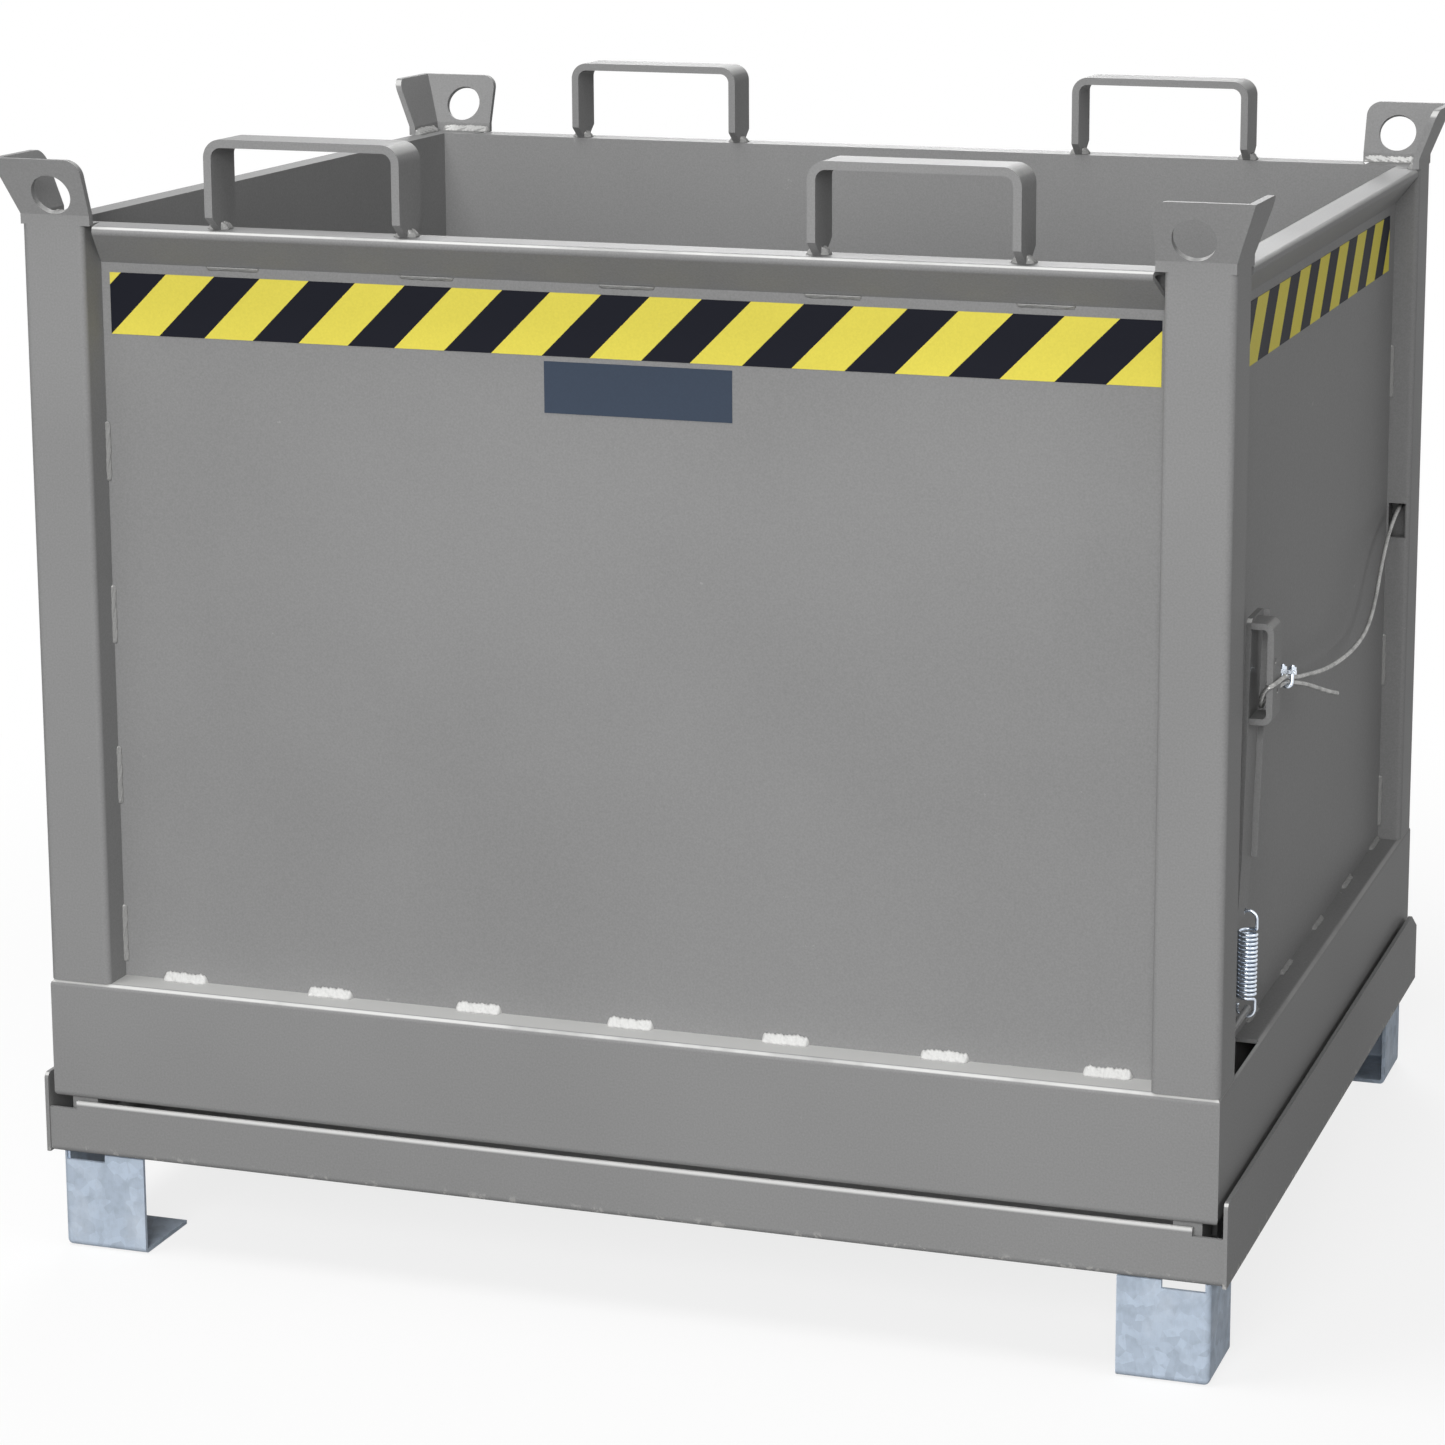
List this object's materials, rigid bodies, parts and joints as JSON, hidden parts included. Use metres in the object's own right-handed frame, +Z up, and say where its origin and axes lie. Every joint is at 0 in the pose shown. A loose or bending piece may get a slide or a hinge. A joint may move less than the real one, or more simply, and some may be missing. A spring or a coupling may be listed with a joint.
{
  "type": "hinged bottom hopper",
  "caption": "Open-top sheet steel container on feet whose floor pan hinges at the rear and is let go by a spring-loaded lever on a pull rope.",
  "frame": {"origin": "centre of the footprint, on the ground under the feet", "axes": "+X along the front towards the release lever's side, +Y from the front to the hinged rear, +Z up"},
  "size_m": [1.24, 1.04, 1.132],
  "materials": {
    "grey_paint": "satin",
    "striped_tape": "satin",
    "blue_plate": "satin",
    "galvanised": "matte",
    "bare_steel": "satin",
    "zinc": "gloss",
    "wire_rope": "satin",
    "black_plastic": "satin"
  },
  "bodies": {
    "container": {"wall_front": "grey_paint", "wall_rear": "grey_paint", "wall_left": "grey_paint", "wall_right": "grey_paint", "rim_front": "grey_paint", "rim_rear": "grey_paint", "rim_left": "grey_paint", "rim_right": "grey_paint", "post_front_left": "grey_paint", "post_front_right": "grey_paint", "post_rear_left": "grey_paint", "post_rear_right": "grey_paint", "band_front": "grey_paint", "band_rear": "grey_paint", "band_left": "grey_paint", "band_right": "grey_paint", "lifting_lug_front_left": "grey_paint", "lifting_lug_front_right": "grey_paint", "lifting_lug_rear_left": "grey_paint", "lifting_lug_rear_right": "grey_paint", "fork_loop_front_left": "grey_paint", "fork_loop_front_right": "grey_paint", "fork_loop_rear_left": "grey_paint", "fork_loop_rear_right": "grey_paint", "post_caps": "grey_paint", "top_welds": "grey_paint", "ledge_welds": "grey_paint", "post_welds": "grey_paint", "hinge_ears": "grey_paint", "hazard_tape_front": "striped_tape", "hazard_tape_rear": "striped_tape", "hazard_tape_left": "striped_tape", "hazard_tape_right": "striped_tape", "blank_plate": "blue_plate", "hinge_pins": "bare_steel", "pivot_pin": "bare_steel", "pivot_spacers": "bare_steel", "spring_peg": "bare_steel", "return_spring": "zinc", "pull_rope": "wire_rope", "pull_rope_end": "wire_rope", "pull_grip": "black_plastic", "grip_ferrule": "zinc"},
    "lever": {"release_lever": "grey_paint", "rope_stirrup": "grey_paint", "rope_eye": "wire_rope", "rope_tail": "wire_rope", "rope_clip_saddle": "zinc", "rope_clip_bolt": "zinc", "rope_clip_nuts": "zinc"},
    "flap": {"pan_floor": "grey_paint", "pan_side_left": "grey_paint", "pan_side_right": "grey_paint", "pan_ribs": "grey_paint", "rest_blocks": "grey_paint", "keeper": "grey_paint", "hinge_knuckles": "grey_paint", "feet_front": "galvanised", "feet_rear": "galvanised"}
  },
  "joints": [
    {"name": "flap_hinge", "type": "hinge", "parent": "container", "child": "flap", "pos_m": [0, 0.508, 0.147], "axis": [1, 0, 0], "range_deg": [0, 85]},
    {"name": "lever_pivot", "type": "hinge", "parent": "container", "child": "lever", "pos_m": [0.585, -0.405, 0.249], "axis": [-1, 0, 0], "range_deg": [-5, 10], "stiffness_Nm_per_rad": 9, "deforming": ["return_spring", "pull_rope"]}
  ]
}
